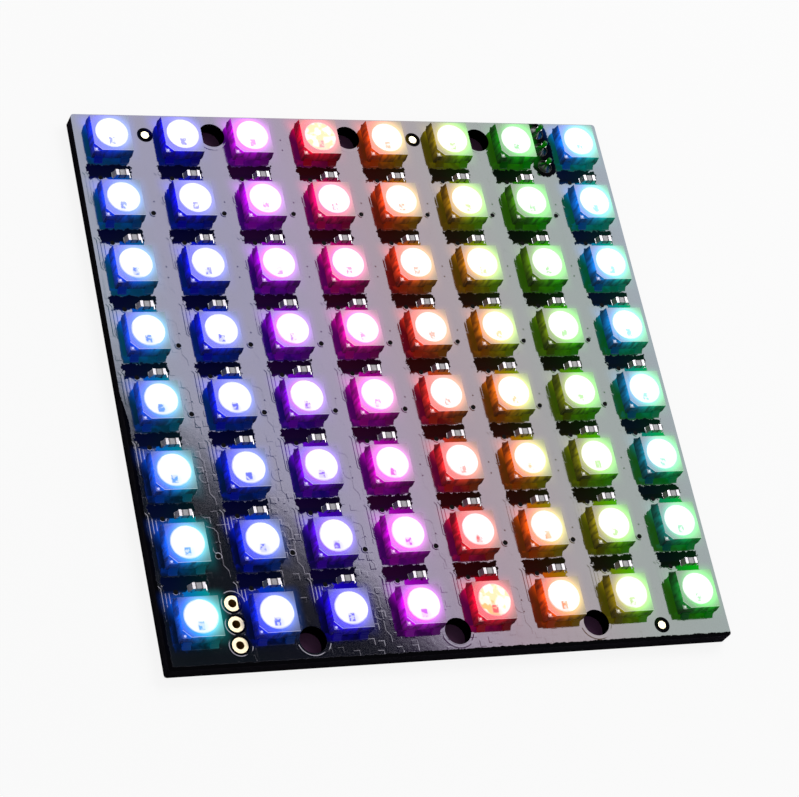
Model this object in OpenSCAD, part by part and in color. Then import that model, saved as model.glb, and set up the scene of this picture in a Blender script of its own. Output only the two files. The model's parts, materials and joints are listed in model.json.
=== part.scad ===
// Square panel of addressable colour LEDs.
// One surface-mount LED package stands at each crossing of a square grid, with
// a small ceramic capacitor between each package and the next one down its
// column. The board has plated through holes for the signal lines in two
// opposite corners, fixing holes along two edges and three alignment dots.
// Units are millimetres. The board's back face is at z = 0, its centre is the
// origin, columns run along X and rows along Y. Row 1 is the row at +Y.

/* [Grid] */
// Distance between the centres of neighbouring packages
led_pitch = 9; // [8.6:0.1:12]
// Distance from the outer packages' centres to the board's two side edges
side_margin = 4.1; // [3.6:0.1:6]
// Distance from the first row's centre line to the board's upper edge
top_margin = 3.8; // [3.4:0.1:6]
// Distance from the last row's centre line to the board's lower edge
bottom_margin = 5.5; // [3.6:0.1:7]

/* [Board] */
// Thickness of the board
board_t = 2; // [1.2:0.1:3.2]
// Radius of the board's corners
corner_r = 0.4; // [0.2:0.1:1.5]
// Depth of the openings in the solder mask
mask_t = 0.05; // [0.03:0.01:0.1]

/* [Fixing holes] */
// Diameter of the fixing holes
fixing_d = 3.3; // [2.4:0.1:3.6]
// Distance from a fixing hole's centre to the board's edge
fixing_inset = 2.7; // [2.3:0.1:3.4]

/* [LED package] */
// Width of the package at its parting line
package_w = 5; // [4.8:0.05:5.2]
// Height of the package, without the gap under it
package_h = 1.9; // [1.7:0.05:2.2]
// How far each side leans in between the parting line and the top
top_draft = 0.1; // [0.05:0.01:0.15]
// How far each side leans in between the parting line and the underside
base_draft = 0.05; // [0.02:0.01:0.1]
// Gap between the board and the package's underside
standoff = 0.1; // [0.05:0.01:0.12]
// Diameter of the reflector cup at its mouth
cup_d = 4.1; // [3.8:0.05:4.3]
// Diameter of the reflector cup at its floor
cup_floor_d = 3.3; // [3:0.05:3.6]
// Depth of the reflector cup
cup_depth = 1.2; // [1:0.05:1.3]
// Height of the lens dome above the package
lens_rise = 0.08; // [0.04:0.01:0.15]
// Length of the two legs of the corner notch that marks pin 1
notch_leg = 0.9; // [0.6:0.05:1]
// Depth of the corner notch
notch_depth = 0.35; // [0.2:0.05:0.6]

/* [Lead frame] */
// Thickness of the lead frame's strip
lead_t = 0.15; // [0.13:0.01:0.2]
// Width of a lead outside the package
lead_w = 1; // [0.8:0.05:1.2]
// Distance between the centres of the two leads on one side
lead_spacing = 3.3; // [3:0.05:3.5]
// Clearance between a lead and the package's side
lead_gap = 0.05; // [0.03:0.01:0.1]
// Length of the foot that is folded under the package
foot_l = 0.9; // [0.6:0.05:1.1]
// Inner radius of the lead's bends
bend_r = 0.12; // [0.08:0.01:0.2]
// Gap between neighbouring plates of the lead frame
plate_gap = 0.25; // [0.2:0.01:0.35]
// Distance from the package's parting side to the end of a plate
plate_inset = 0.55; // [0.45:0.05:0.7]
// Place along X of the gap between the upper pair of plates
upper_split = -0.25; // [-0.35:0.05:-0.15]
// Place along X of the gap between the lower pair of plates
lower_split = 0.75; // [0.7:0.05:0.8]
// Reach of the solder fillet in front of a lead
fillet_l = 0.35; // [0.2:0.05:0.45]
// Height of the solder fillet on a lead
fillet_h = 0.4; // [0.25:0.05:0.45]

/* [Chips] */
// Size of the driver chip along X
driver_w = 0.85; // [0.7:0.05:0.9]
// Size of the driver chip along Y
driver_l = 0.7; // [0.55:0.05:0.75]
// Thickness of the driver chip
driver_t = 0.2; // [0.15:0.01:0.3]
// Place of the driver chip along X
driver_x = 0.1; // [0.05:0.01:0.15]
// Distance of the driver chip from the package's centre line, towards -Y
driver_y = 0.75; // [0.7:0.05:0.85]
// Side of an emitter die
die_w = 0.3; // [0.2:0.01:0.32]
// Thickness of an emitter die
die_t = 0.12; // [0.1:0.01:0.2]
// Distance of the emitter dice from the package's centre line, towards +Y
die_y = 0.5; // [0.4:0.05:0.7]

/* [Capacitors] */
// Length of a capacitor over its two ends
cap_l = 1.6; // [1.5:0.05:1.8]
// Width of a capacitor
cap_w = 0.8; // [0.7:0.05:0.95]
// Height of a capacitor
cap_h = 0.8; // [0.6:0.05:0.95]
// Length of the metal end of a capacitor
cap_end_l = 0.35; // [0.25:0.05:0.5]
// Thickness of the metal end's skin
cap_skin = 0.03; // [0.02:0.01:0.05]
// Reach of the solder fillet at each end of a capacitor
cap_fillet_l = 0.3; // [0.2:0.05:0.4]
// Height of the solder fillet at each end of a capacitor
cap_fillet_h = 0.6; // [0.4:0.05:0.6]
// Distance from a column's centre line to its capacitors, towards +X
cap_shift = 0.9; // [0.5:0.05:1.1]
// Distance from a package's centre to the capacitor below it
cap_drop = 4.8; // [4.3:0.05:5.1]

/* [Through holes] */
// Distance from the board's side edges to the two rows of holes
hole_inset_x = 8.8; // [8.5:0.1:9.1]
// Distance from the board's lower edge to the middle of the lower left row
hole_inset_bottom = 5.1; // [4.2:0.1:6]
// Distance from the board's upper edge to the middle of the upper right row
hole_inset_top = 4; // [4:0.1:5]
// Distance between neighbouring through holes
hole_pitch = 2.54; // [2.4:0.01:2.6]
// Diameter of a plated hole, its wall's plating included
plated_d = 1; // [0.9:0.05:1.1]
// Diameter of the ring at each end of a plated hole
ring_d = 1.9; // [1.6:0.05:2]
// Width of the mask opening around a ring
ring_clearance = 0.25; // [0.1:0.05:0.3]
// Diameter of a soldered lead's end
tip_d = 0.6; // [0.5:0.05:0.7]
// Height of a soldered lead's end above the board
tip_h = 1.9; // [1.3:0.1:2.2]
// Height of the solder cone around a lead's end
cone_h = 1.1; // [0.7:0.1:1.2]

/* [Alignment dots] */
// Diameter of an alignment dot
dot_d = 1; // [0.8:0.1:1.2]
// Diameter of the mask opening around an alignment dot
dot_opening_d = 2; // [1.6:0.1:2.2]
// Distance from the board's edge to the dots along X, in the corners
dot_inset_x = 9; // [8.6:0.1:9.4]
// Distance from the board's upper edge to its two dots
dot_inset_top = 2.8; // [1.6:0.1:3]
// Distance from the board's lower edge to its dot
dot_inset_bottom = 1.9; // [1.4:0.1:3]

/* [Hidden] */
$fn = 48;
columns = 8;
rows = 8;
eps = 0.01;

board_w = (columns - 1) * led_pitch + 2 * side_margin;
board_l = (rows - 1) * led_pitch + top_margin + bottom_margin;
grid_y = (bottom_margin - top_margin) / 2;
package_top = standoff + package_h;
top_w = package_w - 2 * top_draft;
base_w = package_w - 2 * base_draft;
floor_z = package_top - cup_depth;
lead_x = lead_spacing / 2;
lead_reach = package_w / 2 + lead_gap + lead_t;
plate_x = lead_x + lead_w / 2;
plate_y = package_w / 2 - plate_inset;
die_xs = [upper_split - die_w * 1.5, upper_split + die_w * 1.5, upper_split + die_w * 3.3];

fixing_x = 2 * led_pitch;
fixing_y = board_l / 2 - fixing_inset;
hole_x = board_w / 2 - hole_inset_x;
dot_x = board_w / 2 - dot_inset_x;

// Column and row numbers start at 1, from the upper left corner.
function led_x(c) = (c - (columns + 1) / 2) * led_pitch;
function led_y(r) = grid_y + ((rows + 1) / 2 - r) * led_pitch;

function along(kind) = [for (c = [1:columns]) str(kind, "_", c)];

// ---- Placing ----

// Puts the children on the board at each package of column c.
module at_leds(c) {
    for (r = [1:rows]) translate([led_x(c), led_y(r), board_t]) children();
}

// Puts the children on the board at each capacitor of column c.
module at_capacitors(c) {
    for (r = [1:rows - 1])
        translate([led_x(c) + cap_shift, led_y(r) - cap_drop, board_t]) children();
}

// Row of three through holes. side is -1 for the lower left row and 1 for the
// upper right one.
module at_holes(side) {
    y = side < 0 ? hole_inset_bottom - board_l / 2 : board_l / 2 - hole_inset_top;
    for (i = [-1:1]) translate([side * hole_x, y + i * hole_pitch, 0]) children();
}

module at_fixings() {
    for (x = [-1:1], y = [-1, 1]) translate([x * fixing_x, y * fixing_y, 0]) children();
}

module at_dots() {
    top = board_l / 2 - dot_inset_top;
    low = dot_inset_bottom - board_l / 2;
    for (p = [[-dot_x, top], [led_pitch, top], [dot_x, low]]) translate([p[0], p[1], 0]) children();
}

// A block that stands on z = 0, centred in x and y.
module slab(w, l, h) {
    translate([-w / 2, -l / 2, 0]) cube([w, l, h]);
}

// ---- Board ----

module rounded_rectangle(w, l, r) {
    square([w - 2 * r, l], center = true);
    square([w, l - 2 * r], center = true);
    for (x = [-1, 1], y = [-1, 1]) translate([x * (w / 2 - r), y * (l / 2 - r)]) circle(r = r);
}

// Bore and both mask openings of a plated hole. The plating in the bore's wall
// is part of the board.
module plated_hole_cut() {
    opening_d = ring_d + 2 * ring_clearance;
    translate([0, 0, -eps]) cylinder(d = plated_d, h = board_t + 2 * eps);
    translate([0, 0, -eps]) cylinder(d = opening_d, h = mask_t + eps);
    translate([0, 0, board_t - mask_t]) cylinder(d = opening_d, h = mask_t + eps);
}

module board() {
    color([0.04, 0.04, 0.05]) difference() {
        linear_extrude(board_t) rounded_rectangle(board_w, board_l, corner_r);
        at_fixings() translate([0, 0, -eps]) cylinder(d = fixing_d, h = board_t + 2 * eps);
        for (side = [-1, 1]) at_holes(side) plated_hole_cut();
        at_dots() translate([0, 0, board_t - mask_t]) cylinder(d = dot_opening_d, h = mask_t + eps);
    }
}

// Flat ring in the mask opening at each end of a plated hole.
module hole_rings() {
    for (z = [0, board_t - mask_t]) translate([0, 0, z]) difference() {
        cylinder(d = ring_d, h = mask_t);
        translate([0, 0, -eps]) cylinder(d = plated_d, h = mask_t + 2 * eps);
    }
}

// All the bare plated copper: rings round six holes and three alignment dots.
module gold_plating() {
    color("gold") {
        for (side = [-1, 1]) at_holes(side) hole_rings();
        at_dots() translate([0, 0, board_t - mask_t]) cylinder(d = dot_d, h = mask_t);
    }
}

// ---- Soldered leads in the upper right row of holes ----

module lead_tip() {
    dome = tip_d / 4;
    cylinder(d = tip_d, h = board_t + tip_h - dome);
    translate([0, 0, board_t + tip_h - dome]) cylinder(d1 = tip_d, d2 = tip_d / 2, h = dome);
}

module lead_tips() {
    color("silver") at_holes(1) lead_tip();
}

// Solder that fills the hole and rises up the lead in a hollow cone.
module solder_joint() {
    steps = 6;
    foot_r = ring_d / 2 - mask_t;
    tip_r = tip_d / 2;
    rim_r = tip_r + mask_t;
    rotate_extrude() polygon(concat(
        [[tip_r, 0], [plated_d / 2, 0], [plated_d / 2, board_t]],
        [for (i = [0:steps]) let (s = i / steps)
            [rim_r + (foot_r - rim_r) * pow(1 - s, 2), board_t + cone_h * s]],
        [[tip_r, board_t + cone_h]]
    ));
}

module solder_joints() {
    color("lightgray") at_holes(1) solder_joint();
}

// ---- LED package ----

// Outline of the package seen from the side, with its parting line.
module package_outline() {
    parting_h = floor_z - standoff;
    polygon([
        [-base_w / 2, 0], [base_w / 2, 0],
        [package_w / 2, parting_h - lead_t], [package_w / 2, parting_h],
        [top_w / 2, package_h], [-top_w / 2, package_h],
        [-package_w / 2, parting_h], [-package_w / 2, parting_h - lead_t]
    ]);
}

// The same outline on all four sides.
module package_blank() {
    intersection() {
        rotate([90, 0, 0]) linear_extrude(package_w + 1, center = true) package_outline();
        rotate([90, 0, 90]) linear_extrude(package_w + 1, center = true) package_outline();
    }
}

module corner_notch() {
    c = top_w / 2;
    over = 1;
    translate([0, 0, package_h - notch_depth]) linear_extrude(notch_depth + eps) polygon([
        [-c - over, -c - over], [-c + notch_leg + over, -c - over], [-c - over, -c + notch_leg + over]
    ]);
}

module led_housing() {
    difference() {
        translate([0, 0, standoff]) difference() {
            package_blank();
            translate([0, 0, package_h - cup_depth])
                cylinder(d1 = cup_floor_d, d2 = cup_d, h = cup_depth);
            translate([0, 0, package_h - eps]) cylinder(d = cup_d, h = 2 * eps);
            corner_notch();
        }
        lead_frame(foot_room = lead_gap);
    }
}

module led_housings(c) {
    color([0.05, 0.05, 0.06]) at_leds(c) led_housing();
}

// Section of one lead: flat through the package's side, down it and under it.
// room thickens the foot upwards, for the pocket that takes it.
module lead_section(room = 0) {
    outer_r = bend_r + lead_t;
    module bend(z, up) {
        translate([lead_reach - outer_r, z]) intersection() {
            difference() { circle(r = outer_r); circle(r = bend_r); }
            translate([0, up ? 0 : -outer_r]) square(outer_r);
        }
    }
    translate([plate_y - eps, floor_z - lead_t]) square([lead_reach - outer_r - plate_y + eps, lead_t]);
    bend(floor_z - outer_r, true);
    translate([lead_reach - lead_t, outer_r]) square([lead_t, floor_z - 2 * outer_r]);
    bend(outer_r, false);
    translate([lead_reach - foot_l, 0]) square([foot_l - outer_r, lead_t + room]);
}

// Solder in front of a lead.
module lead_fillet_section() {
    polygon([[lead_reach, 0], [lead_reach + fillet_l, 0], [lead_reach, fillet_h]]);
}

// One lead on the +Y side, at x, with its plate running from x to split.
module lead(x, split, room) {
    edge = split + sign(x) * plate_gap / 2;
    translate([x + lead_w / 2, 0, 0]) rotate([90, 0, -90]) mirror([1, 0, 0])
        linear_extrude(lead_w) lead_section(room);
    translate([min(edge, sign(x) * plate_x), plate_gap / 2, floor_z - lead_t])
        cube([abs(sign(x) * plate_x - edge), plate_y - plate_gap / 2, lead_t]);
}

module lead_pair(split, room) {
    for (s = [-1, 1]) lead(s * lead_x, split, room);
}

module lead_frame(foot_room = 0) {
    lead_pair(upper_split, foot_room);
    mirror([0, 1, 0]) lead_pair(lower_split, foot_room);
}

module lead_fillets() {
    for (x = [-1, 1], y = [0, 1]) mirror([0, y, 0])
        translate([x * lead_x + lead_w / 2, 0, 0]) rotate([90, 0, -90]) mirror([1, 0, 0])
            linear_extrude(lead_w) lead_fillet_section();
}

module led_leads(c) {
    color("silver") at_leds(c) { lead_frame(); lead_fillets(); }
}

module driver_chip() {
    translate([driver_x, -driver_y, floor_z]) slab(driver_w, driver_l, driver_t);
}

module driver_chips(c) {
    color("dimgray") at_leds(c) driver_chip();
}

module emitter_dice() {
    for (x = die_xs) translate([x, die_y, floor_z]) slab(die_w, die_w, die_t);
}

module led_dice(c) {
    color("khaki") at_leds(c) emitter_dice();
}

// Clear resin that fills the cup around the chips, under a shallow dome.
module led_lens() {
    r = cup_d / 2;
    dome_r = (r * r + lens_rise * lens_rise) / (2 * lens_rise);
    difference() {
        translate([0, 0, floor_z]) rotate_extrude() {
            polygon([[0, 0], [cup_floor_d / 2, 0], [r, cup_depth], [0, cup_depth]]);
            intersection() {
                translate([0, cup_depth + lens_rise - dome_r]) circle(r = dome_r, $fn = 720);
                translate([0, cup_depth]) square([r, lens_rise + eps]);
            }
        }
        driver_chip();
        emitter_dice();
    }
}

module led_lenses(c) {
    color([0.9, 0.95, 1]) at_leds(c) led_lens();
}

// ---- Capacitors ----

module capacitor_body() {
    translate([0, 0, cap_skin])
        slab(cap_l - 2 * cap_skin, cap_w - 2 * cap_skin, cap_h - 2 * cap_skin);
}

// A metal end with the solder that holds it, at the +X end.
module capacitor_end() {
    translate([cap_l / 2 - cap_end_l, -cap_w / 2, 0]) cube([cap_end_l, cap_w, cap_h]);
    translate([cap_l / 2, cap_w / 2, 0]) rotate([90, 0, 0])
        linear_extrude(cap_w) polygon([[0, 0], [cap_fillet_l, 0], [0, cap_fillet_h]]);
}

module capacitor_bodies(c) {
    color("tan") at_capacitors(c) capacitor_body();
}

module capacitor_ends(c) {
    color("silver") at_capacitors(c) difference() {
        for (m = [0, 1]) mirror([m, 0, 0]) capacitor_end();
        capacitor_body();
    }
}

// ---- Nodes ----

board();
gold_plating();
solder_joints();
lead_tips();
for (c = [1:columns]) {
    led_housings(c);
    led_lenses(c);
    led_leads(c);
    driver_chips(c);
    led_dice(c);
    capacitor_bodies(c);
    capacitor_ends(c);
}
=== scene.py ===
import bpy, bmesh, colorsys, json, math
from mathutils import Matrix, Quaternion, Vector


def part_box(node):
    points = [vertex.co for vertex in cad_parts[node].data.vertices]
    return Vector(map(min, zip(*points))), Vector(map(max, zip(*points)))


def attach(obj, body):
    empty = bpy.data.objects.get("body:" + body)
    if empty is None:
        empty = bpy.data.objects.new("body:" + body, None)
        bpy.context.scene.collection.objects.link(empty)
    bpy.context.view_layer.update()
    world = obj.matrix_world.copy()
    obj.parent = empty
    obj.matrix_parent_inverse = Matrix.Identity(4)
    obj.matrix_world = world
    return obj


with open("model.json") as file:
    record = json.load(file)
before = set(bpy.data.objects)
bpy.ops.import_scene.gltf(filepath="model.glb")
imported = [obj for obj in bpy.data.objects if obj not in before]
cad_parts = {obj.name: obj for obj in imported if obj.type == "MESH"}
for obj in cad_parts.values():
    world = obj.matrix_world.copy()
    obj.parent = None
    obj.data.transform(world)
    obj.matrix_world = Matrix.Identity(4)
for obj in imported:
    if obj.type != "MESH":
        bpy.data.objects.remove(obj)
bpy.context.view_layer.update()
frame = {"nodes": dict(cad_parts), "record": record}
nodes = frame["nodes"]
scene = bpy.context.scene
mm = 0.001
print("frame loaded:", len(nodes), "nodes")


# ---- places that come from the frame ----

def middle(node):
    low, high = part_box(node)
    return (low + high) / 2


columns = sum(1 for name in nodes if name.startswith("led_housings_"))
rows = columns
firstX, gridY = middle("led_housings_1").x, middle("led_housings_1").y
pitch = (middle(f"led_housings_{columns}").x - firstX) / (columns - 1)
boardLow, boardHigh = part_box("board")
boardTop = boardHigh.z
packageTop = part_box("led_housings_1")[1].z
capShift = middle("capacitor_bodies_1").x - firstX
capDrop = gridY - middle("capacitor_bodies_1").y + pitch / 2
bores = {m["name"]: Vector(m["pos_m"]) for m in frame["record"]["mounts"] if m["kind"] == "bore"}
openHole, solderedHole = bores["signal_hole_mid"], middle("solder_joints")
holeStep = bores["signal_hole_high"].y - openHole.y
fixings = frame["record"]["mounts"][0]["dims"]
fixingX, fixingY = fixings["spacing_x_mm"] / 2, fixings["spacing_y_mm"] / 2     # in millimetres
dots = [(-26.6, 33.35), (9.0, 33.35), (26.6, -34.25)]                            # alignment dots, millimetres


def ledX(column):        # columns and rows count from 0 here
    return firstX + column * pitch


def ledY(row):
    return gridY + ((rows - 1) / 2 - row) * pitch


# ---- camera ----

cameraFacts = {
    "target": (-1.780 * mm, -4.278 * mm, 4.0 * mm),
    "azimuth": -44.2987,
    "elevation": 55.0336,
    "distance": 325.75 * mm,
    "roll": 37.3157,
    "lens": 123.371,
}


def placeCamera(facts):
    azimuth, elevation, roll = (math.radians(facts[k]) for k in ("azimuth", "elevation", "roll"))
    back = Vector((math.sin(azimuth) * math.cos(elevation),
                   -math.cos(azimuth) * math.cos(elevation), math.sin(elevation)))
    data = bpy.data.cameras.new("camera")
    data.lens, data.sensor_width = facts["lens"], 36
    data.clip_start, data.clip_end = 0.01, 20
    camera = bpy.data.objects.new("camera", data)
    scene.collection.objects.link(camera)
    camera.location = Vector(facts["target"]) + back * facts["distance"]
    turn = (-back).to_track_quat("-Z", "Y")
    camera.rotation_mode = "QUATERNION"
    camera.rotation_quaternion = turn @ Quaternion((0, 0, 1), roll)
    scene.camera = camera


placeCamera(cameraFacts)
print("camera placed")


# ---- node helpers ----

class Wires:
    # Small helper that adds nodes to a tree and joins them
    def __init__(self, tree):
        self.tree = tree

    def put(self, kind, settings=None, **inputs):
        node = self.tree.nodes.new(kind)
        for name, value in (settings or {}).items():
            setattr(node, name, value)
        for name, value in inputs.items():
            self.feed(node.inputs[name.replace("_", " ")], value)
        return node

    def feed(self, socket, value):
        if isinstance(value, bpy.types.NodeSocket):
            self.tree.links.new(value, socket)
        elif value is not None:
            socket.default_value = value

    def calc(self, operation, *values, clamp=False):
        node = self.tree.nodes.new("ShaderNodeMath")
        node.operation, node.use_clamp = operation, clamp
        for socket, value in zip(node.inputs, values):
            self.feed(socket, value)
        return node.outputs[0]

    def ramp(self, value, low, high, lowOut=0.0, highOut=1.0):
        node = self.tree.nodes.new("ShaderNodeMapRange")
        node.interpolation_type = "SMOOTHSTEP"
        for socket, v in zip(node.inputs, (value, low, high, lowOut, highOut)):
            self.feed(socket, v)
        return node.outputs[0]

    def blend(self, amount, first, second, mode="MIX"):
        node = self.tree.nodes.new("ShaderNodeMix")
        node.data_type, node.blend_type = "RGBA", mode
        node.clamp_factor = True
        self.feed(node.inputs[0], amount)
        self.feed(node.inputs[6], first)
        self.feed(node.inputs[7], second)
        return node.outputs[2]

    def split(self, vector):
        return self.put("ShaderNodeSeparateXYZ", Vector=vector).outputs

    def noise(self, vector, scale, detail=3.0, roughness=0.5):
        return self.put("ShaderNodeTexNoise", Vector=vector, Scale=scale, Detail=detail,
                        Roughness=roughness).outputs["Fac"]


def newGroup(name, inputs, outputs):
    # Node group with named sockets: {"Name": (type, default)}
    tree = bpy.data.node_groups.new(name, "ShaderNodeTree")
    for direction, sockets in (("INPUT", inputs), ("OUTPUT", outputs)):
        for label, facts in sockets.items():
            kind, default = facts if isinstance(facts, tuple) else (facts, None)
            socket = tree.interface.new_socket(label, in_out=direction, socket_type="NodeSocket" + kind)
            if default is not None:
                socket.default_value = default
    return tree, tree.nodes.new("NodeGroupInput").outputs, tree.nodes.new("NodeGroupOutput").inputs


def newMaterial(name):
    material = bpy.data.materials.new(name)
    material.use_nodes = True
    tree = material.node_tree
    tree.nodes.clear()
    wires = Wires(tree)
    shader = tree.nodes.new("ShaderNodeBsdfPrincipled")
    out = tree.nodes.new("ShaderNodeOutputMaterial")
    tree.links.new(shader.outputs[0], out.inputs[0])
    place = tree.nodes.new("ShaderNodeTexCoord").outputs["Object"]
    return material, wires, shader.inputs, place


def useGroup(wires, group, **inputs):
    node = wires.tree.nodes.new("ShaderNodeGroup")
    node.node_tree = group
    for name, value in inputs.items():
        wires.feed(node.inputs[name.replace("_", " ")], value)
    return node.outputs


def bump(wires, height, depth, strength=1.0):
    return wires.put("ShaderNodeBump", Strength=strength, Distance=depth, Height=height).outputs[0]


# ---- shared effects ----

glow = {
    "hues": (190, 220, 242, 290, 350, 38, 88, 118, 182),   # degrees, one column apart, from the lower left corner
    "rowStep": 0.14,         # columns that a row down goes back
    "saturation": 0.94,
    "sideShift": 0.68,        # red and blue dice sit left, the green die right
    "dimLeds": ((3, 0), (4, 7)),
}


def makeLedCell():
    # Where a point lies within its LED's square of the grid, and that LED's colour
    tree, given, made = newGroup("ledCell", {"Vector": "Vector"}, {
        "Across": "Float", "Up": "Float", "Radius": "Float", "Color": "Color", "Dim": "Float", "Wash": "Color"})
    wires = Wires(tree)
    x, y, z = wires.split(given["Vector"])
    cells, steps = [], []
    y = wires.calc("SUBTRACT", y, gridY)
    for axis, sign in ((x, 1), (y, -1)):
        step = wires.calc("ADD", wires.calc("DIVIDE", axis, sign * pitch), columns / 2)
        index = wires.calc("MAXIMUM", wires.calc("MINIMUM", wires.calc("FLOOR", step), columns - 1.0), 0.0)
        local = wires.calc("MULTIPLY", wires.calc("SUBTRACT", wires.calc("SUBTRACT", step, index), 0.5),
                           sign * pitch / mm)
        cells.append((index, local))
        steps.append(step)
    (column, across), (row, up) = cells
    radius = wires.calc("SQRT", wires.calc("ADD", wires.calc("MULTIPLY", across, across),
                                           wires.calc("MULTIPLY", up, up)))
    last = len(glow["hues"]) - 1

    def rainbow(atColumn, atRow):
        along = wires.calc("SUBTRACT", wires.calc("ADD", atColumn, 1.0), wires.calc("MULTIPLY", atRow, glow["rowStep"]))
        node = wires.put("ShaderNodeValToRGB", Fac=wires.calc("DIVIDE", along, float(last)))
        stops = node.color_ramp.elements
        for i, hue in enumerate(glow["hues"]):
            stop = stops[0] if i == 0 else stops[len(stops) - 1] if i == last else stops.new(i / last)
            stop.color = [v ** 2.2 for v in colorsys.hsv_to_rgb(hue / 360, glow["saturation"], 1.0)] + [1]
        return node.outputs["Color"]

    plain = rainbow(column, row)
    # the light that drifts over the board changes smoothly from one package to the next
    wires.feed(made["Wash"], rainbow(wires.calc("SUBTRACT", steps[0], 0.8), wires.calc("SUBTRACT", steps[1], 0.5)))
    side = wires.calc("MULTIPLY", wires.ramp(across, -2.6, 2.6, -1.0, 0.3), glow["sideShift"])
    parts = wires.put("ShaderNodeSeparateColor", Color=plain).outputs
    more, less = wires.calc("ADD", 1.0, side), wires.calc("SUBTRACT", 1.0, side)
    mixed = wires.put("ShaderNodeCombineColor", Red=wires.calc("MULTIPLY", parts[0], less),
                      Green=wires.calc("MULTIPLY", parts[1], more), Blue=wires.calc("MULTIPLY", parts[2], less))
    dim = 0.0
    for atColumn, atRow in glow["dimLeds"]:
        one = wires.calc("MULTIPLY", wires.calc("COMPARE", column, float(atColumn), 0.1),
                         wires.calc("COMPARE", row, float(atRow), 0.1))
        dim = wires.calc("ADD", dim, one)
    for label, socket in (("Across", across), ("Up", up), ("Radius", radius),
                          ("Color", mixed.outputs[0]), ("Dim", dim)):
        wires.feed(made[label], socket)
    return tree


def makeFineGrain():
    # Small moulded or cast grain: a height for bump and a colour variation
    tree, given, made = newGroup("fineGrain", {
        "Vector": "Vector", "Scale": ("Float", 4000.0), "Contrast": ("Float", 0.2)},
        {"Height": "Float", "Tint": "Float"})
    wires = Wires(tree)
    fine = wires.noise(given["Vector"], given["Scale"], 4.0, 0.6)
    wide = wires.noise(given["Vector"], wires.calc("MULTIPLY", given["Scale"], 0.12), 2.0)
    wires.feed(made["Height"], wires.calc("ADD", fine, wires.calc("MULTIPLY", wide, 0.5)))
    tint = wires.calc("ADD", wires.calc("MULTIPLY", fine, 0.6), wires.calc("MULTIPLY", wide, 0.4))
    tint = wires.calc("SUBTRACT", tint, 0.5)
    wires.feed(made["Tint"], wires.calc("ADD", 1.0, wires.calc("MULTIPLY", tint, given["Contrast"])))
    return tree


def makeHandling():
    # Smudges and hair scratches, as a roughness
    tree, given, made = newGroup("handling", {
        "Vector": "Vector", "Smooth": ("Float", 0.1), "Worn": ("Float", 0.3)}, {"Roughness": "Float"})
    wires = Wires(tree)
    smudge = wires.ramp(wires.noise(given["Vector"], 70.0, 4.0, 0.6), 0.42, 0.75)
    stretch = wires.put("ShaderNodeMapping", Vector=given["Vector"], Scale=(900, 60, 60),
                        Rotation=(0, 0, 0.5)).outputs[0]
    hair = wires.ramp(wires.noise(stretch, 1.0, 2.0, 0.5), 0.69, 0.73)
    worn = wires.calc("MAXIMUM", wires.calc("MULTIPLY", smudge, 0.5), wires.calc("MULTIPLY", hair, 0.7))
    span = wires.calc("SUBTRACT", given["Worn"], given["Smooth"])
    wires.feed(made["Roughness"], wires.calc("ADD", given["Smooth"], wires.calc("MULTIPLY", worn, span)))
    return tree


def makeSpill():
    # Painted light that an LED throws on what stands around it, by distance from its body
    tree, given, made = newGroup("spill", {
        "Across": "Float", "Up": "Float", "Half": ("Float", 2.5), "Reach": ("Float", 0.8)},
        {"Amount": "Float"})
    wires = Wires(tree)
    out = []
    for axis in ("Across", "Up"):
        gap = wires.calc("MAXIMUM", wires.calc("SUBTRACT", wires.calc("ABSOLUTE", given[axis]), given["Half"]), 0.0)
        out.append(wires.calc("MULTIPLY", gap, gap))
    away = wires.calc("SQRT", wires.calc("ADD", *out))
    wires.feed(made["Amount"], wires.calc("EXPONENT", wires.calc(
        "MULTIPLY", wires.calc("DIVIDE", away, given["Reach"]), -1.0)))
    return tree


def makeHoleGauge():
    # Distance from the nearest of the six signal holes, and from the nearest alignment dot, in millimetres
    tree, given, made = newGroup("holeGauge", {"Vector": "Vector"},
                                 {"Radius": "Float", "Dot": "Float", "Soldered": "Float"})
    wires = Wires(tree)
    x, y, z = wires.split(given["Vector"])

    def away(dx, dy):
        square = wires.calc("ADD", wires.calc("MULTIPLY", dx, dx), wires.calc("MULTIPLY", dy, dy))
        return wires.calc("DIVIDE", wires.calc("SQRT", square), mm)

    found = []
    for hole in (openHole, solderedHole):
        dy = wires.calc("SUBTRACT", y, hole.y)
        step = wires.calc("ROUND", wires.calc("DIVIDE", dy, holeStep))
        step = wires.calc("MAXIMUM", wires.calc("MINIMUM", step, 1.0), -1.0)
        dy = wires.calc("SUBTRACT", dy, wires.calc("MULTIPLY", step, holeStep))
        found.append(away(wires.calc("SUBTRACT", x, hole.x), dy))
    wires.feed(made["Radius"], wires.calc("MINIMUM", *found))
    dy = wires.calc("SUBTRACT", y, solderedHole.y)
    held = wires.calc("MAXIMUM", wires.calc("MINIMUM", dy, holeStep), -holeStep)
    wires.feed(made["Soldered"], away(wires.calc("SUBTRACT", x, solderedHole.x), wires.calc("SUBTRACT", dy, held)))
    nearest = 50.0
    for dotX, dotY in dots:
        one = away(wires.calc("SUBTRACT", x, dotX * mm), wires.calc("SUBTRACT", y, dotY * mm))
        nearest = wires.calc("MINIMUM", nearest, one)
    wires.feed(made["Dot"], nearest)
    return tree


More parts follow.
